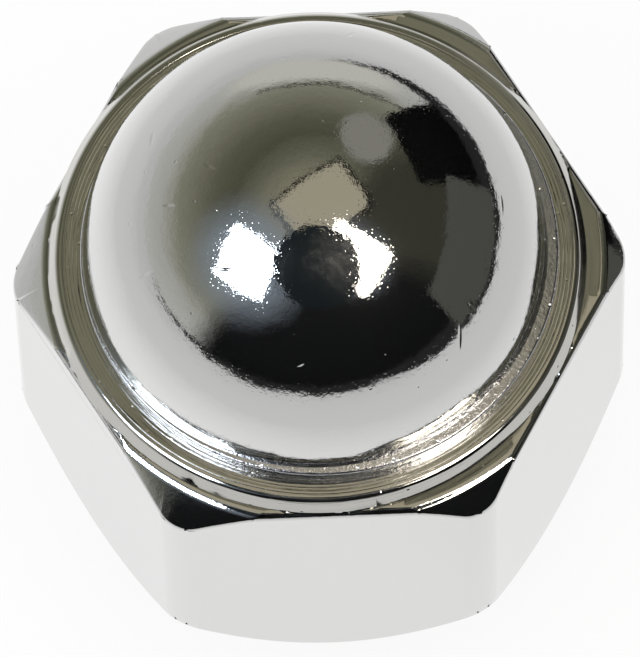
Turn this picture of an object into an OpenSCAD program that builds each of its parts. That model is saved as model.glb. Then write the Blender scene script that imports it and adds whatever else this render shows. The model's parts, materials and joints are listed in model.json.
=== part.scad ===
// Closed cap nut for a wheel stud: a hexagon on a 60 degree conical seat, with a turned collar
// and a domed cap over the blind threaded hole. All sizes are in millimetres.
// The nut stands on its end face with its axis on +Z, and two of its flats face -Y and +Y.

/* [Hexagon] */
// Width across the flats, for a 3/4 inch socket
af = 19.05; // [17:0.05:24]
// Height of a flat at its middle, from the seat to the ledge
flat_h = 12.8; // [9:0.1:18]
// Rounding of the six upright edges
corner_r = 1.4; // [0.6:0.1:2.4]
// Rounding of the edge between each flat and the ledge
edge_r = 0.3; // [0.1:0.05:0.5]
// How far outside the flats the chamfer of the corners begins
chamfer_out = 0.55; // [0.45:0.05:0.9]
// Slope of that chamfer below the ledge
chamfer_angle = 45; // [30:1:55]
// Rounding between the ledge and that chamfer
crown_r = 1; // [0.3:0.1:1.2]

/* [Conical seat] */
// Included angle of the seat
seat_angle = 60; // [50:1:90]
// Diameter of the end face, where the seat ends
end_d = 14.5; // [14:0.1:16]

/* [Threaded hole] */
// Nominal diameter of the stud thread, 1/2 inch
thread_d = 12.7; // [10:0.05:13]
// Pitch of the thread, 20 to the inch
pitch = 1.27; // [1:0.01:1.75]
// Depth of the hole's straight wall, from the end face
hole_depth = 18.5; // [12:0.1:19]
// Angle of the drill point that ends the hole
drill_angle = 118; // [90:1:140]
// How much wider than the thread the countersink is at the mouth
mouth_over = 0.5; // [0.2:0.1:1]

/* [Collar] */
// How far the foot of the collar stands inside the flats
collar_in = 0.105; // [0.08:0.005:0.5]
// Height of the collar above the ledge
collar_h = 0.6; // [0.4:0.05:1.5]
// Slope of the collar's side
collar_slope = 65; // [45:1:80]
// Rounding at the top of the collar's side
rim_r = 0.25; // [0.05:0.05:0.35]

/* [Dome] */
// Diameter of the dome
dome_d = 16.35; // [15:0.05:16.8]
// Height of the dome's centre above the collar's face
dome_rise = 0.05; // [0:0.05:3]
// Width of the skirt round the dome's foot
skirt_w = 0.15; // [0.1:0.05:0.3]
// Height of that skirt
skirt_h = 0.45; // [0.2:0.05:0.6]

/* [Hidden] */
$fn = 48;
// Straight steps in a rounded edge
arc_steps = 4;
// Overlap that keeps cuts and joins clean
over = 1;
// Angle by which the arc of an upright edge stops short of its tangent
short_of_tangent = 2;

flat_r = af / 2;
// Radius that clears the hexagon's corners
clear_r = af / sqrt(3) + over;
end_r = end_d / 2;
seat_h = (flat_r - end_r) / tan(seat_angle / 2);
ledge_z = seat_h + flat_h;
collar_z = ledge_z + collar_h;
dome_z = collar_z + dome_rise;
dome_r = dome_d / 2;
chamfer_r = flat_r + chamfer_out;
foot_r = flat_r - collar_in;
// Basic minor diameter of a unified internal thread
bore_r = (thread_d - 1.0825 * pitch) / 2;
mouth_r = (thread_d + mouth_over) / 2;
mouth_h = mouth_r - bore_r;
point_h = bore_r / tan(drill_angle / 2);

// Points along an arc about c, from angle a to angle b
function arc(c, r, a, b) =
    [for (i = [0:arc_steps]) c + r * [cos(a + (b - a) * i / arc_steps), sin(a + (b - a) * i / arc_steps)]];

// The arc that rounds a turned edge between a level face and a side that slopes down from it.
// The edge would be sharp at radius x and height z.
function round_edge(x, z, r, slope) =
    arc([x - r * tan(slope / 2), z - r], r, 90 - slope, 90);

// The turned form of the hexagon: seat, corner clearance, chamfer and ledge
module blank() {
    far = clear_r + over;
    rotate_extrude()
        polygon(concat(
            [[0, 0], [end_r, 0], [far, (far - end_r) / tan(seat_angle / 2)]],
            [[far, ledge_z - (far - chamfer_r) * tan(chamfer_angle)]],
            round_edge(chamfer_r, ledge_z, crown_r, chamfer_angle),
            [[0, ledge_z]]));
}

// The bar's outline: a hexagon whose corners are true arcs. Each arc stops a little short of its
// tangent, where a flat crosses it cleanly.
module bar_outline() {
    sweep = 30 - short_of_tangent;
    corner_at = (flat_r - corner_r * cos(short_of_tangent)) / cos(30);
    polygon([for (k = [0:5]) for (side = [-sweep, sweep])
        corner_at * [cos(60 * k), sin(60 * k)] + corner_r * [cos(60 * k + side), sin(60 * k + side)]]);
    for (k = [0:5])
        rotate(60 * k)
            translate([corner_at, 0])
                circle(corner_r);
}

// What buffing takes off the edge between one flat and the ledge
module edge_cut() {
    length = 2 * clear_r;
    translate([-length / 2, 0, 0])
        rotate([90, 0, 90])
            linear_extrude(length)
                polygon(concat(
                    arc([edge_r - flat_r, ledge_z - edge_r], edge_r, 90, 180),
                    [[-flat_r - over, ledge_z - edge_r], [-flat_r - over, ledge_z + over]],
                    [[edge_r - flat_r, ledge_z + over]]));
}

module hexagon() {
    difference() {
        intersection() {
            blank();
            linear_extrude(ledge_z + over)
                bar_outline();
        }
        for (k = [0:5])
            rotate(60 * k)
                edge_cut();
    }
}

// The turned collar on the ledge. Its foot runs down into the rounded edge of the flats.
module collar() {
    top_r = foot_r - collar_h / tan(collar_slope);
    foot_z = ledge_z - edge_r;
    rotate_extrude()
        polygon(concat(
            [[0, foot_z], [foot_r, foot_z], [foot_r, ledge_z]],
            round_edge(top_r, collar_z, rim_r, collar_slope),
            [[0, collar_z]]));
}

// The dome, with the skirt that joins it to the collar
module dome() {
    // Where the skirt runs out on the dome
    skirt_r = sqrt(pow(dome_r, 2) - pow(max(0, skirt_h - dome_rise), 2));
    rotate_extrude()
        intersection() {
            union() {
                translate([0, dome_z])
                    circle(dome_r);
                translate([0, ledge_z - over])
                    square([dome_r, dome_z - ledge_z + over]);
                polygon([
                    [0, ledge_z],
                    [dome_r + skirt_w, ledge_z],
                    [dome_r + skirt_w, collar_z],
                    [skirt_r, collar_z + skirt_h],
                    [0, collar_z + skirt_h]]);
            }
            translate([0, ledge_z - over])
                square([clear_r, dome_z - ledge_z + dome_r + 2 * over]);
        }
}

// The blind hole: countersunk mouth, wall at the thread's minor diameter, drill point
module threaded_hole() {
    translate([0, 0, -over])
        cylinder(h = hole_depth + over, r = bore_r);
    translate([0, 0, hole_depth])
        cylinder(h = point_h, r1 = bore_r, r2 = 0);
    translate([0, 0, -over])
        cylinder(h = mouth_h + over, r1 = mouth_r + over, r2 = bore_r);
}

module cap_nut() {
    color("gainsboro")
        difference() {
            union() {
                hexagon();
                collar();
                dome();
            }
            threaded_hole();
        }
}

cap_nut();
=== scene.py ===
import json
import math

import bmesh
import bpy
from bpy.props import FloatProperty, FloatVectorProperty, IntProperty, PointerProperty
from mathutils import Matrix, Vector


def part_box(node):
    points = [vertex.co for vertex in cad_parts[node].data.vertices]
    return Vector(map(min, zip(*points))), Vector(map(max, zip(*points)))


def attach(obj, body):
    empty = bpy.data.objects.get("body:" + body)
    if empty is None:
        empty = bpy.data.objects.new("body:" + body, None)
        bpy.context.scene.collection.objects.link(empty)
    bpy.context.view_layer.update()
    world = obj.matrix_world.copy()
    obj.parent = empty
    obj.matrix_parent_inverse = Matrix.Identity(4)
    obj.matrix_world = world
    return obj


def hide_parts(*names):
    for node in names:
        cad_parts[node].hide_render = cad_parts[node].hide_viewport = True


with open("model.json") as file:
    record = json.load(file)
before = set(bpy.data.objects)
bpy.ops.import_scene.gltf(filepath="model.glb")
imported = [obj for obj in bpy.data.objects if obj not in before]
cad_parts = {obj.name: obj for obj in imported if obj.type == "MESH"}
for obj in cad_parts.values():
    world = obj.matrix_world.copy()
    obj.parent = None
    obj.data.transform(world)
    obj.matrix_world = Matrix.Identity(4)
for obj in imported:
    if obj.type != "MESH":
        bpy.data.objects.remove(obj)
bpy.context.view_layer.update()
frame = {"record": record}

bl_info = {
    "name": "Chrome cap nut",
    "version": (1, 0, 0),
    "blender": (4, 5, 0),
    "location": "3D View > Sidebar > Cap nut",
    "description": "Models a chrome plated cap nut around its packed solid, with its stage and camera",
    "category": "Mesh",
}

MM = 0.001
CAD_NODE = "cap_nut"
CAD_LOW, CAD_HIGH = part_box(CAD_NODE)
THREAD = next(m for m in frame["record"]["mounts"] if m["name"] == "thread")

# Knocks in the dome: degrees round from the back, degrees down from the top, turn in degrees, and
# half the length and half the width in millimetres
DINGS = (
    (278, 26, 60, 0.3, 0.08),
    (293, 47, 20, 0.4, 0.12),
    (264, 38, 70, 0.3, 0.07),
    (247, 52, 80, 0.35, 0.08),
    (225, 33, 35, 0.55, 0.07),
    (93, 53, 10, 0.35, 0.1),
    (127, 54, 85, 0.5, 0.12),
    (136, 59, 60, 0.6, 0.09),
    (14, 50, 75, 0.4, 0.08),
    (10, 31, 80, 0.35, 0.07),
    (186, 50, 30, 0.3, 0.07),
)

# The photograph's frame in pixels, and the pixel where the middle of the ledge's plane shows
PHOTO_WIDTH = 640
PHOTO_HEIGHT = 657
LEDGE_PIXEL = (318.8, 262.3)


def linear(code):
    """A hex colour such as #E4E5E8, written in sRGB, as linear red, green, blue and alpha."""
    shares = [int(code[i : i + 2], 16) / 255 for i in (1, 3, 5)]
    return [s / 12.92 if s <= 0.04045 else ((s + 0.055) / 1.055) ** 2.4 for s in shares] + [1.0]


def size_property(name, description, millimetres):
    """A length that a user may change. Blender keeps it in metres."""
    return FloatProperty(
        name=name, description=description, default=millimetres * MM, min=0.0, precision=5, unit="LENGTH"
    )


def angle_property(name, description, degrees):
    """An angle that a user may change. Blender keeps it in radians."""
    return FloatProperty(name=name, description=description, default=math.radians(degrees), subtype="ANGLE")


def colour_property(name, description, code):
    """A colour that a user may change, given as an sRGB hex code."""
    return FloatVectorProperty(
        name=name, description=description, default=linear(code), size=4, min=0.0, max=1.0, subtype="COLOR"
    )


class NutSizes(bpy.types.PropertyGroup):
    across_flats: size_property("Across flats", "Width across the flats", (CAD_HIGH.y - CAD_LOW.y) / MM - 0.016)
    corner: size_property("Corner rounding", "Radius of the six upright edges", 1.4)
    flat_edge: size_property("Flat edge", "Radius of the edge between each flat and the ledge", 0.3)
    chamfer_out: size_property("Chamfer start", "How far outside the flats the corner chamfer begins", 0.32)
    chamfer_slope: angle_property("Chamfer slope", "Slope of the corner chamfer below the ledge", 43)
    crown: size_property("Crown rounding", "Radius between the ledge and the corner chamfer", 0.55)
    crown_right: size_property("Crown off centre", "How far right of the axis the chamfer was cut", 0.24)
    crown_back: size_property("Crown off centre", "How far behind the axis the chamfer was cut", 0.08)
    crease: size_property("Crease rounding", "What buffing takes off the edges round the flats", 0.09)
    seat: angle_property("Seat angle", "Included angle of the conical seat", 60)
    end_face: size_property("End face", "Diameter of the end face", 14.5)
    flat_height: size_property("Flat height", "Height of a flat at its middle", 12.8)
    collar_in: size_property("Collar set back", "How far the collar's foot stands inside the flats", 0.075)
    collar_height: size_property("Collar height", "Height of the collar above the ledge", 0.5)
    collar_slope: angle_property("Collar slope", "Slope of the collar's side", 58.5)
    collar_left: size_property("Collar off centre", "How far left of the hexagon's middle the collar stands", 0.05)
    collar_back: size_property("Collar off centre", "How far behind the hexagon's middle the collar stands", 0.06)
    rim: size_property("Rim rounding", "Radius at the top of the collar's side", 0.25)
    ridge: size_property("Ridge", "Height of the tool's ridges on the collar's face", 0.02)
    ridges: IntProperty(name="Ridges", description="How many ridges the tool left on the collar's face", default=6)
    dome: size_property("Dome", "Diameter of the dome", 16.35)
    dome_rise: size_property("Dome rise", "Height of the dome's centre above the collar", 0.149)
    dome_left: size_property("Dome off centre", "How far left of the hexagon's middle the dome stands", 0.12)
    dome_back: size_property("Dome off centre", "How far behind the hexagon's middle the dome stands", 0.04)
    step: size_property("Step", "Diameter of the turned step that the dome stands on", 16.76)
    step_height: size_property("Step height", "Height of that step above the collar's face", 0.6)
    step_slope: angle_property("Step slope", "Slope of the step's narrow top", 9)
    step_edge: size_property("Step edge", "Rounding of the step's edge", 0.1)
    step_right: size_property("Step off centre", "How far right of the hexagon's middle the step stands", 0.03)
    thread: size_property("Thread", "Nominal diameter of the stud thread", 12.7)
    pitch: size_property("Pitch", "Pitch of the thread, 20 to the inch", 1.27)
    thread_depth: size_property("Thread depth", "Depth of the full thread from the end face", 16.5)
    hole_depth: size_property("Hole depth", "Depth of the straight wall from the end face", 18.5)
    drill: angle_property("Drill point", "Angle of the drill point that ends the hole", 118)
    mouth_over: size_property("Mouth", "How much wider than the thread the countersink is", 0.5)
    turns: IntProperty(name="Steps", description="Steps in one full turn of a turned form", default=240)


class NutColours(bpy.types.PropertyGroup):
    bright: colour_property("Bright chrome", "Chrome plate over buffed steel", "#D9D9D8")
    turned: colour_property("Turned chrome", "Chrome plate over turned steel", "#D6D5D0")
    bead: colour_property("Bead", "Chrome plate over the rough bead", "#CFCFD2")
    bore: colour_property("Bore", "Thin plate in the cut thread", "#9A9894")


class StageSettings(bpy.types.PropertyGroup):
    elevation: angle_property("Elevation", "How far the camera looks down", 68.6)
    swing: angle_property("Swing", "Turn of the camera round the nut", -0.45)
    roll: angle_property("Roll", "Turn of the camera about its own axis", 1.84)
    distance: size_property("Distance", "From the camera to the ledge", 495)
    lens: FloatProperty(name="Lens", description="Focal length in millimetres", default=774, unit="CAMERA")
    floor: colour_property("Floor", "Pale paper on the bench", "#F2F2F2")


def shape(sizes):
    """Sizes and heights in millimetres, worked out from the settings. Angles stay in radians."""
    s = {
        key: value / MM if sizes.bl_rna.properties[key].unit == "LENGTH" else value
        for key in NutSizes.__annotations__
        for value in [getattr(sizes, key)]
    }
    s["flat_r"] = s["across_flats"] / 2
    s["clear_r"] = s["across_flats"] / math.sqrt(3) + 1
    s["end_r"] = s["end_face"] / 2
    s["seat_z"] = (s["flat_r"] - s["end_r"]) / math.tan(s["seat"] / 2)
    s["ledge_z"] = s["seat_z"] + s["flat_height"]
    s["collar_z"] = s["ledge_z"] + s["collar_height"]
    s["dome_z"] = s["collar_z"] + s["dome_rise"]
    s["dome_r"] = s["dome"] / 2
    s["step_r"] = s["step"] / 2
    s["chamfer_r"] = s["flat_r"] + s["chamfer_out"]
    s["foot_r"] = s["flat_r"] - s["collar_in"]
    s["bore_r"] = THREAD["dims"]["r_mm"]
    s["root_r"] = s["thread"] / 2
    s["mouth_r"] = (s["thread"] + s["mouth_over"]) / 2
    return s


# Small helpers of the modelling


def deselect():
    """Leaves nothing selected, so that an operator acts on new work only."""
    bpy.ops.object.select_all(action="DESELECT")


def pick(obj):
    """Makes obj the only selected object, and the active one."""
    deselect()
    obj.select_set(True)
    bpy.context.view_layer.objects.active = obj


def edit(obj, mode="VERT"):
    """Opens obj in edit mode with nothing selected."""
    pick(obj)
    bpy.ops.object.mode_set(mode="EDIT")
    bpy.ops.mesh.select_mode(type=mode)
    bpy.ops.mesh.select_all(action="DESELECT")


def leave_edit():
    bpy.ops.object.mode_set(mode="OBJECT")


def select_where(obj, kind, test):
    """Selects the open mesh's verts, edges or faces for which test is true, and returns how many."""
    mesh = bmesh.from_edit_mesh(obj.data)
    count = 0
    for item in getattr(mesh, kind):
        if test(item):
            item.select_set(True)
            count += 1
    mesh.select_flush_mode()
    bmesh.update_edit_mesh(obj.data)
    return count


def start_point(name, place):
    """A mesh of one point, made by merging a small plane, ready to be extruded in edit mode."""
    deselect()
    bpy.ops.mesh.primitive_plane_add(size=1)
    obj = bpy.context.object
    obj.name = obj.data.name = name
    bpy.ops.object.mode_set(mode="EDIT")
    bpy.ops.mesh.select_mode(type="VERT")
    bpy.ops.mesh.select_all(action="SELECT")
    bpy.ops.mesh.merge(type="CENTER")
    bpy.ops.transform.translate(value=place)
    return obj


def draw_chain(points):
    """Extrudes the selected point along the rest of a chain of places."""
    for here, there in zip(points, points[1:]):
        bpy.ops.mesh.extrude_region_move(TRANSFORM_OT_translate={"value": Vector(there) - Vector(here)})


def lathe(name, profile, steps):
    """Turns a chain of (radius, height) points, both ends on the axis, into a closed form."""
    chain = [(r, 0, z) for r, z in profile]
    obj = start_point(name, chain[0])
    draw_chain(chain)
    bpy.ops.mesh.select_all(action="SELECT")
    bpy.ops.mesh.spin(steps=steps, angle=math.tau, center=(0, 0, 0), axis=(0, 0, 1))
    close_skin()
    leave_edit()
    return obj


def close_skin():
    """Merges what a spin or a cut left double, and turns all faces outwards."""
    bpy.ops.mesh.select_all(action="SELECT")
    bpy.ops.mesh.remove_doubles(threshold=0.0005)
    bpy.ops.mesh.normals_make_consistent(inside=False)


def combine(obj, other, operation):
    """Joins, cuts or intersects obj with other by a Boolean modifier, and deletes other."""
    pick(obj)
    boolean = obj.modifiers.new(operation.lower(), "BOOLEAN")
    boolean.operation = operation
    boolean.solver = "EXACT"
    boolean.object = other
    bpy.ops.object.modifier_apply(modifier=boolean.name)
    bpy.data.objects.remove(other)


def arc(centre, radius, start, end, steps):
    """Points in degrees along an arc in the profile's plane."""
    angles = [math.radians(start + (end - start) * i / steps) for i in range(steps + 1)]
    return [(centre[0] + radius * math.cos(a), centre[1] + radius * math.sin(a)) for a in angles]


def round_edge(r, z, radius, slope, steps):
    """The arc between a side that slopes down and a level face that ends at radius r and height z."""
    centre = (r - radius * math.tan(slope / 2), z - radius)
    return arc(centre, radius, 90 - math.degrees(slope), 90, steps)


def held(points, near=0.03, long=0.3):
    """The same chain with a point close to both ends of each long stretch, so that flats stay flat."""
    made = [points[0]]
    for (r0, z0), (r1, z1) in zip(points, points[1:]):
        length = math.hypot(r1 - r0, z1 - z0)
        if length > long:
            t = near / length
            made.append((r0 + (r1 - r0) * t, z0 + (z1 - z0) * t))
            made.append((r1 - (r1 - r0) * t, z1 - (z1 - z0) * t))
        made.append((r1, z1))
    return made


# The nut


def seat_blank(s):
    """The turned foot of the hexagon: end face, conical seat and clearance for the corners."""
    far = s["clear_r"] + 1
    profile = [
        (0, 0),
        (s["end_r"], 0),
        (far, (far - s["end_r"]) / math.tan(s["seat"] / 2)),
        (far, s["ledge_z"] + 1),
        (0, s["ledge_z"] + 1),
    ]
    return lathe("seat_blank", profile, int(s["turns"]))


def crown(s):
    """The turned top of the hexagon: ledge, rounding and chamfer, cut a little off the axis."""
    far = s["clear_r"] + 2
    profile = [
        (0, -1),
        (far, -1),
        (far, s["ledge_z"] - (far - s["chamfer_r"]) * math.tan(s["chamfer_slope"])),
        *round_edge(s["chamfer_r"], s["ledge_z"], s["crown"], s["chamfer_slope"], 16),
        (0, s["ledge_z"]),
    ]
    return shift(lathe("crown", held(profile), int(s["turns"])), s["crown_right"], s["crown_back"])


def hexagon_bar(s):
    """The drawn bar, with its upright edges and the edges of its top buffed round."""
    lift = 0.002
    reach = s["flat_r"] / math.cos(math.pi / 6)
    top, bottom = s["ledge_z"] + lift, -1.0
    deselect()
    bpy.ops.mesh.primitive_cylinder_add(
        vertices=6, radius=reach, depth=top - bottom, location=(0, 0, (top + bottom) / 2), rotation=(0, 0, math.pi / 6)
    )
    obj = bpy.context.object
    obj.name = obj.data.name = "hexagon_bar"
    bpy.ops.object.transform_apply(location=True, rotation=True, scale=True)
    edit(obj, "EDGE")
    select_where(obj, "edges", lambda e: abs(e.verts[0].co.z - e.verts[1].co.z) > 1)
    bpy.ops.mesh.bevel(offset=s["corner"] * math.tan(math.pi / 6), segments=12, affect="EDGES")
    bpy.ops.mesh.select_all(action="DESELECT")
    select_where(obj, "edges", lambda e: min(v.co.z for v in e.verts) > top - 0.01)
    bpy.ops.mesh.bevel(offset=s["flat_edge"], segments=6, affect="EDGES")
    # Level cuts below the creases keep the bends at the creases out of the long upright faces
    for height in (s["seat_z"] - 0.1, 6.6, 7.0, s["ledge_z"] - 1.3, s["ledge_z"] - 1.0):
        bpy.ops.mesh.select_all(action="SELECT")
        bpy.ops.mesh.bisect(plane_co=(0, 0, height), plane_no=(0, 0, 1))
    leave_edit()
    return obj


def collar(s):
    """The turned collar with the tool's ridges on its face, and a core that sinks into the hexagon."""
    top_r = s["foot_r"] - s["collar_height"] / math.tan(s["collar_slope"])
    core_z = s["ledge_z"] - s["flat_edge"]
    rim = round_edge(top_r, s["collar_z"], s["rim"], s["collar_slope"], 10)
    inner = s["step_r"] - 0.13
    steps = 8 * int(s["ridges"])
    ridges = []
    for i in range(1, steps):
        t = i / steps
        # Deep where the tool came off at the rim and beside the step, faint between
        depth = 0.08 + math.exp(-(((t - 0.07) / 0.07) ** 2)) + 0.3 * math.exp(-(((t - 0.82) / 0.05) ** 2))
        lift = s["ridge"] / 2 * math.sin(t * math.tau * s["ridges"]) * depth * min(1, 20 * t)
        ridges.append((rim[-1][0] + (inner - rim[-1][0]) * t, s["collar_z"] + lift))
    profile = [(0, core_z), (s["foot_r"], core_z), (s["foot_r"], s["ledge_z"]), *rim, *ridges]
    profile += [(inner, s["collar_z"]), (0, s["collar_z"])]
    return shift(lathe("collar", held(profile), int(s["turns"])), -s["collar_left"], s["collar_back"])


def step(s):
    """The narrow step that the dome stands on, a little off the dome's own axis."""
    low_z = s["ledge_z"] - s["flat_edge"] + 0.1
    top_z = s["collar_z"] + s["step_height"]
    edge, slope = s["step_edge"], s["step_slope"]
    middle = (s["step_r"] - edge, top_z - edge)
    high_z = top_z + s["step_r"] * math.tan(slope)
    profile = [
        (0, low_z),
        (s["step_r"], low_z),
        *arc(middle, edge, 0, 90 - math.degrees(slope), 8),
        (0, high_z),
    ]
    return shift(lathe("step", held(profile), int(s["turns"])), s["step_right"], 0)


def dome(s):
    """The domed cap. Its foot runs down through the step."""
    low_z = s["ledge_z"] - s["flat_edge"] + 0.05
    profile = [(0, low_z), (s["dome_r"], low_z), *arc((0, s["dome_z"]), s["dome_r"], 0, 90, 64)]
    profile[-1] = (0, profile[-1][1])
    return shift(lathe("dome", held(profile), int(s["turns"])), -s["dome_left"], s["dome_back"])


def shift(obj, x, y):
    """Moves a turned form off the axis."""
    edit(obj)
    bpy.ops.mesh.select_all(action="SELECT")
    bpy.ops.transform.translate(value=(x, y, 0))
    leave_edit()
    return obj


def drill(s):
    """What the drill and the countersink take out."""
    mouth_z = s["mouth_r"] - s["bore_r"]
    profile = [
        (0, -1),
        (s["mouth_r"] + 1, -1),
        (s["bore_r"], mouth_z),
        (s["bore_r"], s["hole_depth"]),
        (0, s["hole_depth"] + s["bore_r"] / math.tan(s["drill"] / 2)),
    ]
    return lathe("drill", profile, int(s["turns"]))


def tap(s):
    """What the tap takes out: one pitch of a 60 degree thread, wound up the axis and cut off level."""
    inner = s["bore_r"] - 0.1
    flank = (s["root_r"] - inner) * math.tan(math.pi / 6)
    root = s["pitch"] / 8
    crest = s["pitch"] - root - 2 * flank
    start = -2 * s["pitch"]
    chain = [(inner, 0, start), (inner, 0, start + crest)]
    chain.append((s["root_r"], 0, chain[-1][2] + flank))
    chain.append((s["root_r"], 0, chain[-1][2] + root))
    chain.append((inner, 0, chain[-1][2] + flank))
    obj = start_point("tap", chain[0])
    draw_chain(chain)
    leave_edit()
    screw = obj.modifiers.new("thread", "SCREW")
    screw.axis = "Z"
    screw.screw_offset = s["pitch"]
    screw.iterations = math.ceil(s["thread_depth"] / s["pitch"]) + 4
    screw.steps = screw.render_steps = 96
    screw.use_merge_vertices = True
    screw.merge_threshold = 0.0005
    bpy.ops.object.modifier_apply(modifier=screw.name)
    edit(obj)
    close_skin()
    for height, outward in ((-0.7, -1), (s["thread_depth"], 1)):
        bpy.ops.mesh.select_all(action="SELECT")
        bpy.ops.mesh.bisect(
            plane_co=(0, 0, height), plane_no=(0, 0, outward), use_fill=True, clear_outer=True
        )
    close_skin()
    leave_edit()
    return obj


def soften_creases(obj, s):
    """Rounds the creases where the flats and corners meet the chamfer and the seat, less where they fade out."""
    faint, full = math.radians(8), math.radians(28)
    # Edges that lie level or stand upright belong to roundings that are there already
    level, upright = 0.0005, 3
    # Slivers at the hexagon's edges would throw the bevel out of line
    edit(obj)
    select_where(obj, "verts", lambda v: math.hypot(v.co.x, v.co.y) > s["flat_r"] * 0.97 and v.co.z < s["ledge_z"])
    bpy.ops.mesh.remove_doubles(threshold=0.02)
    leave_edit()
    mesh = bmesh.new()
    mesh.from_mesh(obj.data)
    weight = mesh.edges.layers.float.new("bevel_weight_edge")
    for edge in mesh.edges:
        outside = all(math.hypot(v.co.x, v.co.y) > s["flat_r"] * 0.97 for v in edge.verts)
        if not outside or len(edge.link_faces) != 2 or not edge.is_convex:
            continue
        if edge.verts[0].co.z == edge.verts[1].co.z == 0:
            continue
        rise = abs(edge.verts[0].co.z - edge.verts[1].co.z)
        bend = edge.calc_face_angle()
        if bend > faint and level < rise < upright:
            edge[weight] = min(1.0, (bend - faint) / (full - faint))
    mesh.to_mesh(obj.data)
    mesh.free()
    pick(obj)
    bevel = obj.modifiers.new("creases", "BEVEL")
    bevel.limit_method = "WEIGHT"
    bevel.width = s["crease"]
    bevel.segments = 3
    bevel.use_clamp_overlap = False
    bpy.ops.object.modifier_apply(modifier=bevel.name)


def model_nut(s):
    """The whole nut in millimetres: blank and bar, then collar, step and dome, then the threaded hole."""
    nut = seat_blank(s)
    combine(nut, crown(s), "INTERSECT")
    combine(nut, hexagon_bar(s), "INTERSECT")
    combine(nut, collar(s), "UNION")
    combine(nut, step(s), "UNION")
    combine(nut, dome(s), "UNION")
    combine(nut, drill(s), "DIFFERENCE")
    combine(nut, tap(s), "DIFFERENCE")
    return nut


def to_metres(obj):
    """Brings a mesh that was modelled in millimetres to its real size."""
    edit(obj)
    bpy.ops.mesh.select_all(action="SELECT")
    bpy.ops.transform.resize(value=(MM, MM, MM), center_override=(0, 0, 0))
    leave_edit()


# Materials


def add(tree, kind, inputs=None, **settings):
    """Adds a node with its settings. An input takes a value or another node's output."""
    made = tree.nodes.new(kind)
    for name, value in settings.items():
        setattr(made, name, value)
    for key, value in (inputs or {}).items():
        if isinstance(value, bpy.types.NodeSocket):
            tree.links.new(value, made.inputs[key])
        else:
            made.inputs[key].default_value = value
    return made


def empty_material(name):
    """A material with nothing in its tree but the output."""
    material = bpy.data.materials.new(name)
    material.use_nodes = True
    material.node_tree.nodes.clear()
    return material, material.node_tree, add(material.node_tree, "ShaderNodeOutputMaterial")


def object_place(tree):
    """The point on the nut, in metres."""
    return add(tree, "ShaderNodeTexCoord").outputs["Object"]


def noise(tree, place, grain, detail=2.0, roughness=0.5):
    """Soft noise whose grains are about as wide as grain, in millimetres."""
    made = add(
        tree,
        "ShaderNodeTexNoise",
        {"Vector": place, "Scale": 1 / (grain * MM), "Detail": detail, "Roughness": roughness},
    )
    return made.outputs["Fac"]


def share(tree, value, low, high, to_low=0.0, to_high=1.0, smooth=True):
    """Maps value from low and high to the new ends, and stops there."""
    made = add(
        tree,
        "ShaderNodeMapRange",
        {"Value": value, "From Min": low, "From Max": high, "To Min": to_low, "To Max": to_high},
        interpolation_type="SMOOTHSTEP" if smooth else "LINEAR",
    )
    return made.outputs["Result"]


def sum_of(tree, first, second, operation="ADD"):
    return add(tree, "ShaderNodeMath", {0: first, 1: second}, operation=operation).outputs[0]


def relief(tree, height, depth, below=None):
    """Bump of the given depth in millimetres, on top of another bump."""
    inputs = {"Height": height, "Strength": 1.0, "Distance": depth * MM}
    if below is not None:
        inputs["Normal"] = below
    return add(tree, "ShaderNodeBump", inputs).outputs["Normal"]


def pits(tree, place, spacing, width, seed):
    """Sparse round pits: 1 on the skin and 0 in the middle of a pit. Sizes are in millimetres."""
    shift = add(tree, "ShaderNodeMapping", {"Vector": place, "Location": (seed * MM, seed * MM, 0)}).outputs[0]
    cells = add(tree, "ShaderNodeTexVoronoi", {"Vector": shift, "Scale": 1 / (spacing * MM)})
    return share(tree, cells.outputs["Distance"], 0.0, width / spacing)


def dome_middle(s):
    """The centre of the dome, in millimetres."""
    return Vector((-s["dome_left"], s["dome_back"], s["dome_z"]))


def dings(tree, place, s):
    """Small knocks in the dome: 0 on the skin and up to 1 in the middle of a knock."""
    total = None
    for around, tilt, turn, length, width in DINGS:
        towards = Vector(
            (
                math.sin(math.radians(tilt)) * math.sin(math.radians(around)),
                math.sin(math.radians(tilt)) * math.cos(math.radians(around)),
                math.cos(math.radians(tilt)),
            )
        )
        centre = dome_middle(s) + towards * s["dome_r"]
        frame_turn = towards.to_track_quat("Z", "Y").to_matrix() @ Matrix.Rotation(math.radians(turn), 3, "Z")
        mapping = add(
            tree,
            "ShaderNodeMapping",
            {
                "Vector": place,
                "Location": centre * MM,
                "Rotation": frame_turn.to_euler(),
                "Scale": (length * MM, width * MM, length * MM),
            },
            vector_type="TEXTURE",
        )
        spot = add(tree, "ShaderNodeTexGradient", {"Vector": mapping.outputs[0]}, gradient_type="SPHERICAL")
        total = spot.outputs["Fac"] if total is None else sum_of(tree, total, spot.outputs["Fac"], "MAXIMUM")
    return total


def chrome(tree, output, colour, roughness, normal, haze=0.0):
    """The metal itself, with its roughness and relief from nodes. Haze is the share of light that it spreads."""
    skin = {"Base Color": colour, "Metallic": 1.0, "Normal": normal}
    mirror = add(tree, "ShaderNodeBsdfPrincipled", {**skin, "Roughness": roughness})
    veil = add(tree, "ShaderNodeBsdfPrincipled", {**skin, "Roughness": 0.33})
    mix = add(tree, "ShaderNodeMixShader", {0: haze, 1: mirror.outputs[0], 2: veil.outputs[0]})
    tree.links.new(mix.outputs[0], output.inputs["Surface"])


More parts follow.
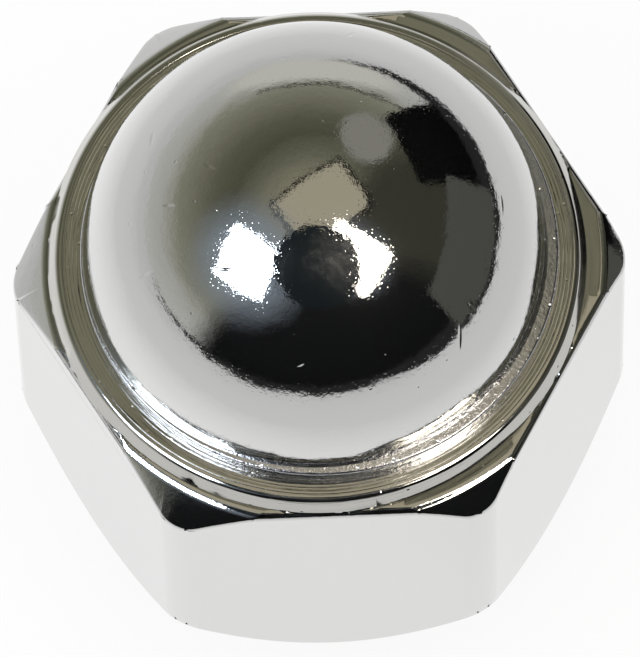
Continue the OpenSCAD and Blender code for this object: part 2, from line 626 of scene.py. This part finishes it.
def buffed_chrome(name, colour, s, with_dings):
    """Decorative chrome over buffed steel: a cool mirror, faintly wavy, with fine pits and buffing haze."""
    material, tree, output = empty_material(name)
    place = object_place(tree)
    grain = noise(tree, place, 0.22, 3.0, 0.6)
    roughness = share(tree, noise(tree, place, 0.3, 3.0), 0.35, 0.75, 0.03, 0.07)
    normal = relief(tree, noise(tree, place, 3.2, 1.0), 0.03 if with_dings else 0.008)
    normal = relief(tree, noise(tree, place, 0.9, 1.0), 0.008 if with_dings else 0.002, normal)
    normal = relief(tree, grain, 0.004, normal)
    normal = relief(tree, pits(tree, place, 0.13, 0.036, 5), 0.0014, normal)
    normal = relief(tree, pits(tree, place, 0.9, 0.07, 3), 0.008, normal)
    if with_dings:
        normal = relief(tree, sum_of(tree, 0.0, dings(tree, place, s), "SUBTRACT"), 0.014, normal)
        # The dome's foot is left rough, up to where the buffing wheel reached
        height = add(tree, "ShaderNodeSeparateXYZ", {"Vector": place}).outputs["Z"]
        low = share(tree, height, (s["collar_z"] + 0.5) * MM, (s["collar_z"] + 1.6) * MM, 1.0, 0.0)
        rough = sum_of(tree, noise(tree, place, 0.2, 3.0, 0.6), low, "MULTIPLY")
        normal = relief(tree, rough, 0.012, normal)
    chrome(tree, output, colour, roughness, normal, 0.005)
    return material


def round_marks(tree, place, across, along):
    """Noise drawn out round the axis, as a turning tool leaves it: narrow across, long along. In millimetres."""
    parts = add(tree, "ShaderNodeSeparateXYZ", {"Vector": place})
    x, y, z = parts.outputs
    radius = add(
        tree, "ShaderNodeMath", {0: sum_of(tree, sum_of(tree, x, x, "MULTIPLY"), sum_of(tree, y, y, "MULTIPLY"))},
        operation="SQRT",
    ).outputs[0]
    angle = sum_of(tree, y, x, "ARCTAN2")
    # The angle in radians becomes a length at the collar's radius of about 9 mm
    length = sum_of(tree, angle, 9 * MM * across / along, "MULTIPLY")
    drawn = add(tree, "ShaderNodeCombineXYZ", {"X": radius, "Y": length, "Z": z}).outputs[0]
    return noise(tree, drawn, across, 3.0, 0.6)


def turned_chrome(colour, s):
    """Chrome over a turned face: rings of tool marks, small pits, a little less mirror than the dome."""
    material, tree, output = empty_material("chrome_plate_turned")
    place = object_place(tree)
    rings = round_marks(tree, place, 0.12, 3.0)
    roughness = share(tree, rings, 0.3, 0.75, 0.05, 0.16)
    # The ledge is smoother than the collar above it
    height = add(tree, "ShaderNodeSeparateXYZ", {"Vector": place}).outputs["Z"]
    deep = share(tree, height, (s["ledge_z"] + 0.1) * MM, (s["ledge_z"] + 0.3) * MM, 0.25, 1.0)
    normal = relief(tree, sum_of(tree, rings, deep, "MULTIPLY"), 0.005)
    normal = relief(tree, pits(tree, place, 0.6, 0.07, 7), 0.01, normal)
    chrome(tree, output, colour, roughness, normal, 0.004)
    return material


def bead_chrome(colour):
    """Chrome over the rough bead at the dome's foot, pitted like the steel under it."""
    material, tree, output = empty_material("chrome_plate_pitted")
    place = object_place(tree)
    grain = noise(tree, place, 0.16, 3.0, 0.65)
    roughness = share(tree, grain, 0.3, 0.7, 0.08, 0.22)
    normal = relief(tree, grain, 0.02)
    normal = relief(tree, pits(tree, place, 0.4, 0.08, 11), 0.02, normal)
    chrome(tree, output, colour, roughness, normal, 0.01)
    return material


def thread_finish(colour):
    """Thin plate in the cut thread: grey and dull, with fine marks from the tap."""
    material, tree, output = empty_material("thin_plate_in_cut_thread")
    place = object_place(tree)
    marks = round_marks(tree, place, 0.08, 4.0)
    roughness = share(tree, marks, 0.3, 0.7, 0.28, 0.45)
    chrome(tree, output, colour, roughness, relief(tree, marks, 0.006))
    return material


# Operators


def finish_mesh(obj, name):
    """Names the finished piece and shades it smooth up to its sharp edges."""
    obj.name = obj.data.name = name
    pick(obj)
    bpy.ops.object.shade_smooth_by_angle(angle=math.radians(25))
    weighted = obj.modifiers.new("flat faces stay flat", "WEIGHTED_NORMAL")
    weighted.keep_sharp = True
    weighted.weight = 50
    bpy.ops.object.modifier_apply(modifier=weighted.name)


def plate(nut, s, colours):
    """Gives each zone of the nut its finish."""
    finishes = [
        buffed_chrome("chrome_plate_buffed_flats", colours.bright, s, False),
        buffed_chrome("chrome_plate_buffed_dome", colours.bright, s, True),
        turned_chrome(colours.turned, s),
        bead_chrome(colours.bead),
        thread_finish(colours.bore),
    ]
    flats, dome, turned, bead, thread = range(len(finishes))
    nut.data.materials.clear()
    for finish in finishes:
        nut.data.materials.append(finish)
    near = 0.01
    dome_at = dome_middle(s)
    for face in nut.data.polygons:
        place = face.center / MM
        z = place.z
        r = math.hypot(place.x, place.y)
        from_dome = (place - dome_at).length
        level = abs(face.normal.z) > 0.99
        if from_dome < s["dome_r"] * 0.9 and z > s["ledge_z"] or r < s["root_r"] + 0.05 and z < s["ledge_z"]:
            face.material_index = flats if level and z < near else thread
        elif z > s["collar_z"] + near and from_dome < s["dome_r"] + near:
            face.material_index = dome
        elif z > s["collar_z"] + near:
            face.material_index = bead
        elif z > s["ledge_z"] + near or (level and (z < near or z > s["ledge_z"] - near)):
            face.material_index = turned
        else:
            face.material_index = flats


class NUT_OT_body(bpy.types.Operator):
    """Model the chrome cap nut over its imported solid"""

    bl_idname = "nut.body"
    bl_label = "Cap nut"

    def execute(self, context):
        s = shape(context.scene.nut_sizes)
        colours = context.scene.nut_colours
        nut = model_nut(s)
        soften_creases(nut, s)
        to_metres(nut)
        finish_mesh(nut, "plated_cap_nut")
        plate(nut, s, colours)
        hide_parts(CAD_NODE)
        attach(nut, "root")
        return {"FINISHED"}


def make_camera(context):
    """The camera at the photograph's viewing angle."""
    settings = context.scene.nut_stage
    s = shape(context.scene.nut_sizes)
    turn = Matrix.Rotation(settings.swing, 3, "Z")
    e = settings.elevation
    forward = turn @ Vector((0, math.cos(e), -math.sin(e)))
    right = turn @ Vector((1, 0, 0))
    up = right.cross(forward)
    side = right * math.cos(settings.roll) - up * math.sin(settings.roll)
    top = right * math.sin(settings.roll) + up * math.cos(settings.roll)
    # Pixels per metre at the target, for a 36 mm sensor on the photograph's long side
    scale = settings.lens / 36 * PHOTO_HEIGHT / settings.distance
    right_of_middle = (LEDGE_PIXEL[0] - PHOTO_WIDTH / 2) / scale
    above_middle = (PHOTO_HEIGHT / 2 - LEDGE_PIXEL[1]) / scale
    target = Vector((0, 0, s["ledge_z"] * MM))
    data = bpy.data.cameras.new("camera")
    data.lens = settings.lens
    data.clip_start = 0.01
    camera = bpy.data.objects.new("camera", data)
    context.scene.collection.objects.link(camera)
    camera.location = target - side * right_of_middle - top * above_middle - forward * settings.distance
    axes = Matrix((side, top, -forward)).transposed()
    camera.rotation_euler = axes.to_euler()
    context.scene.camera = camera


def direction(around, height):
    """The direction that lies around degrees clockwise from the back and height degrees above the level."""
    a, h = math.radians(around), math.radians(height)
    return Vector((math.sin(a) * math.cos(h), math.cos(a) * math.cos(h), math.sin(h)))


def glow(name, colour, strength=1.0, soft=0.0):
    """The material of a card that the chrome mirrors. A soft card fades towards its edges."""
    material, tree, output = empty_material(name)
    light = add(tree, "ShaderNodeEmission", {"Color": colour, "Strength": strength})
    if not soft:
        tree.links.new(light.outputs[0], output.inputs["Surface"])
        return material
    place = add(tree, "ShaderNodeTexCoord").outputs["Object"]
    ball = add(tree, "ShaderNodeTexGradient", {"Vector": place}, gradient_type="SPHERICAL").outputs["Fac"]
    fade = share(tree, ball, 0.0, soft)
    clear = add(tree, "ShaderNodeBsdfTransparent")
    mix = add(tree, "ShaderNodeMixShader", {0: fade, 1: clear.outputs[0], 2: light.outputs[0]})
    tree.links.new(mix.outputs[0], output.inputs["Surface"])
    return material


def hide_from_camera(obj):
    """Only the chrome mirrors it: it isn't seen, lights nothing and casts no shadow."""
    obj.visible_camera = False
    obj.visible_diffuse = False
    obj.visible_shadow = False
    obj.visible_transmission = False


def card(name, around, height, wide, high, turn, colour, away=1.0, strength=1.0, soft=0.0, round_card=False):
    """A flat card that faces the nut, placed and sized in degrees as the nut sees it."""
    deselect()
    if round_card:
        bpy.ops.mesh.primitive_circle_add(vertices=48, radius=1, fill_type="NGON")
    else:
        bpy.ops.mesh.primitive_plane_add(size=2)
    obj = bpy.context.object
    obj.name = obj.data.name = name
    towards = direction(around, height)
    obj.location = towards * away
    obj.rotation_mode = "QUATERNION"
    obj.rotation_quaternion = towards.to_track_quat("Z", "Y") @ Matrix.Rotation(
        math.radians(turn), 4, "Z"
    ).to_quaternion()
    obj.scale = (away * math.tan(math.radians(wide / 2)), away * math.tan(math.radians(high / 2)), 1)
    obj.data.materials.append(glow(name, linear(colour), strength, soft))
    hide_from_camera(obj)
    return obj


def make_floor(colour):
    """A pale floor. The camera sees it white, with the nut's soft shadow on it.

    The chrome mirrors it with painted shade: its glow is brightest near the nut, dimmer further out, and painted dark
    where the paper ends, though the camera sees it white there.
    """
    deselect()
    bpy.ops.mesh.primitive_plane_add(size=8, location=(0, 0, CAD_LOW.z - 0.00002))
    floor = bpy.context.object
    floor.name = floor.data.name = "floor"
    material, tree, output = empty_material("pale_paper")
    path = add(tree, "ShaderNodeLightPath")
    seen = sum_of(tree, path.outputs["Is Camera Ray"], path.outputs["Is Glossy Ray"], "MAXIMUM")
    seen = sum_of(tree, seen, path.outputs["Is Transmission Ray"], "MAXIMUM")
    place = object_place(tree)
    x, y, z = add(tree, "ShaderNodeSeparateXYZ", {"Vector": place}).outputs
    away = add(tree, "ShaderNodeVectorMath", {0: place, 1: (-0.01, 0, 0)}, operation="DISTANCE").outputs["Value"]
    # Painted shade: in reflections only, the floor's glow falls off away from the nut
    near = share(tree, away, 0.018, 0.05, 0.99, 0.7, False)
    far = share(tree, away, 0.05, 0.25, 1.0, 0.78, False)
    # Painted dark: beyond the paper's edge the floor shows dark in reflections only, while the camera still sees it
    # white
    off_right = share(tree, x, 0.112, 0.118)
    off_front = share(tree, y, -0.22, -0.26)
    painted_dark_off_paper = sum_of(tree, off_right, off_front, "MAXIMUM")
    mirrored = sum_of(tree, sum_of(tree, near, far, "MULTIPLY"), painted_dark_off_paper, "SUBTRACT")
    mirrored = sum_of(tree, mirrored, 0.02, "MAXIMUM")
    strength = sum_of(tree, path.outputs["Is Camera Ray"], mirrored, "MAXIMUM")
    plain = sum_of(tree, path.outputs["Is Glossy Ray"], painted_dark_off_paper, "MULTIPLY")
    paper = add(tree, "ShaderNodeBsdfDiffuse", {"Color": colour})
    white = add(tree, "ShaderNodeEmission", {"Color": (1, 1, 1, 1), "Strength": strength})
    mix = add(
        tree,
        "ShaderNodeMixShader",
        {
            0: sum_of(tree, sum_of(tree, seen, 0.85, "MULTIPLY"), plain, "MAXIMUM"),
            1: paper.outputs[0],
            2: white.outputs[0],
        },
    )
    tree.links.new(mix.outputs[0], output.inputs["Surface"])
    floor.data.materials.append(material)


def make_world():
    """White for the camera. The chrome mirrors a room that is white low down and olive grey above."""
    world = bpy.data.worlds.new("room")
    bpy.context.scene.world = world
    world.use_nodes = True
    tree = world.node_tree
    tree.nodes.clear()
    output = add(tree, "ShaderNodeOutputWorld")
    path = add(tree, "ShaderNodeLightPath")
    towards = add(tree, "ShaderNodeTexCoord").outputs["Generated"]
    parts = add(tree, "ShaderNodeSeparateXYZ", {"Vector": towards})
    ramp = add(tree, "ShaderNodeValToRGB", {"Fac": parts.outputs["Z"]})
    # By the sine of the height above the level
    stops = (
        (0.0, "#C2C2BE"),
        (0.18, "#B4B4AE"),
        (0.34, "#8A8A7A"),
        (0.5, "#767566"),
        (0.64, "#5F5F4F"),
        (0.77, "#515142"),
        (0.87, "#6A6A5A"),
        (0.95, "#878470"),
    )
    while len(ramp.color_ramp.elements) < len(stops):
        ramp.color_ramp.elements.new(1.0)
    for element, (at, code) in zip(ramp.color_ramp.elements, stops):
        element.position = at
        element.color = linear(code)
    colour = ramp.outputs["Color"]
    # The right side is dim, and the front almost black
    for around, start, end, code in ((130, -0.12, 0.3, "#3A3A31"), (172, 0.32, 0.6, "#0D0E0F")):
        facing = add(
            tree, "ShaderNodeVectorMath", {0: towards, 1: direction(around, 0)}, operation="DOT_PRODUCT"
        ).outputs["Value"]
        factor = share(tree, facing, start, end)
        mixed = add(tree, "ShaderNodeMix", {"Factor": factor, "A": colour, "B": linear(code)}, data_type="RGBA")
        colour = mixed.outputs[2]
    mirrored = add(tree, "ShaderNodeBackground", {"Color": colour, "Strength": 1.0})
    plain = add(tree, "ShaderNodeBackground", {"Color": (1, 1, 1, 1), "Strength": 1.0})
    mix = add(
        tree,
        "ShaderNodeMixShader",
        {0: path.outputs["Is Glossy Ray"], 1: plain.outputs[0], 2: mirrored.outputs[0]},
    )
    tree.links.new(mix.outputs[0], output.inputs["Surface"])


def lamp(name, around, height, wide, high, turn, radiance, colour, mirrored, away=0.6):
    """A softbox that faces the nut, placed and sized in degrees as the nut sees it.

    It is either what the chrome mirrors, or what lights the floor.
    """
    data = bpy.data.lights.new(name, "AREA")
    data.shape = "RECTANGLE"
    data.size = 2 * away * math.tan(math.radians(wide / 2))
    data.size_y = 2 * away * math.tan(math.radians(high / 2))
    # An area lamp of this many watts has the wanted radiance over its face
    data.energy = radiance * data.size * data.size_y * math.pi
    data.color = linear(colour)[:3]
    obj = bpy.data.objects.new(name, data)
    bpy.context.scene.collection.objects.link(obj)
    towards = direction(around, height)
    obj.location = towards * away
    obj.rotation_mode = "QUATERNION"
    obj.rotation_quaternion = (-towards).to_track_quat("-Z", "Y") @ Matrix.Rotation(
        math.radians(turn), 4, "Z"
    ).to_quaternion()
    obj.visible_camera = False
    obj.visible_diffuse = not mirrored
    obj.visible_glossy = mirrored
    return obj


def make_room():
    """The lamps, and the dark and pale cards that stand round the nut."""
    lamp("left_softbox", 238, 50, 27, 26, 20, 10.0, "#E9F3FF", True)
    lamp("right_softbox", 141, 61, 31, 24, -70, 10.0, "#FFF6E8", True)
    lamp("left_fill", 231, 45, 40, 34, 0, 1.0, "#FFFFFF", False)
    lamp("right_fill", 131, 56, 30, 30, 0, 0.8, "#FFFFFF", False)
    card("left_glow", 238, 50, 74, 70, 20, "#8E99A4", away=0.62, soft=0.9)
    card("right_glow", 141, 61, 50, 44, -70, "#7C848E", away=0.62, soft=0.9)
    card("backdrop", 2, 8, 66, 22, 0, "#CFCEC6", away=1.0, soft=0.5)
    card("backdrop_edge", 9, 19.5, 52, 1.3, 0, "#1A1815", away=0.99)
    card("black_cloth", 53, 13, 34, 44, -6, "#030303")
    card("grey_board", 94, 9, 50, 40, 0, "#50504C", away=0.16)
    card("tile_frame", 46, 84.7, 41.5, 30.5, 79, "#14120E", away=0.96)
    card("ceiling_tile", 46, 84.7, 38, 27, 79, "#AEA792", away=0.95)
    card("pale_board", 33, 44, 26, 32, 20, "#8C8A82", away=0.97, soft=0.35)
    card("lens", 179, 63, 41, 41, 0, "#0E171B", away=0.55, round_card=True)


class NUT_OT_stage(bpy.types.Operator):
    """Set out the pale floor, the lamps, the room that the chrome mirrors and the camera"""

    bl_idname = "nut.stage"
    bl_label = "Stage"

    def execute(self, context):
        make_floor(context.scene.nut_stage.floor)
        make_world()
        make_room()
        make_camera(context)
        context.scene.view_settings.view_transform = "Standard"
        return {"FINISHED"}


class NUT_PT_panel(bpy.types.Panel):
    bl_idname = "NUT_PT_panel"
    bl_label = "Cap nut"
    bl_space_type = "VIEW_3D"
    bl_region_type = "UI"
    bl_category = "Cap nut"

    def draw(self, context):
        layout = self.layout
        for group in (context.scene.nut_sizes, context.scene.nut_colours, context.scene.nut_stage):
            box = layout.box()
            for key in type(group).__annotations__:
                box.prop(group, key)
        layout.operator("nut.body")
        layout.operator("nut.stage")


CLASSES = (NutSizes, NutColours, StageSettings, NUT_OT_body, NUT_OT_stage, NUT_PT_panel)


def register():
    for each in CLASSES:
        bpy.utils.register_class(each)
    bpy.types.Scene.nut_sizes = PointerProperty(type=NutSizes)
    bpy.types.Scene.nut_colours = PointerProperty(type=NutColours)
    bpy.types.Scene.nut_stage = PointerProperty(type=StageSettings)


def unregister():
    del bpy.types.Scene.nut_sizes, bpy.types.Scene.nut_colours, bpy.types.Scene.nut_stage
    for each in reversed(CLASSES):
        bpy.utils.unregister_class(each)


def main():
    register()
    bpy.ops.nut.body()
    bpy.ops.nut.stage()


if __name__ == "__main__":
    main()
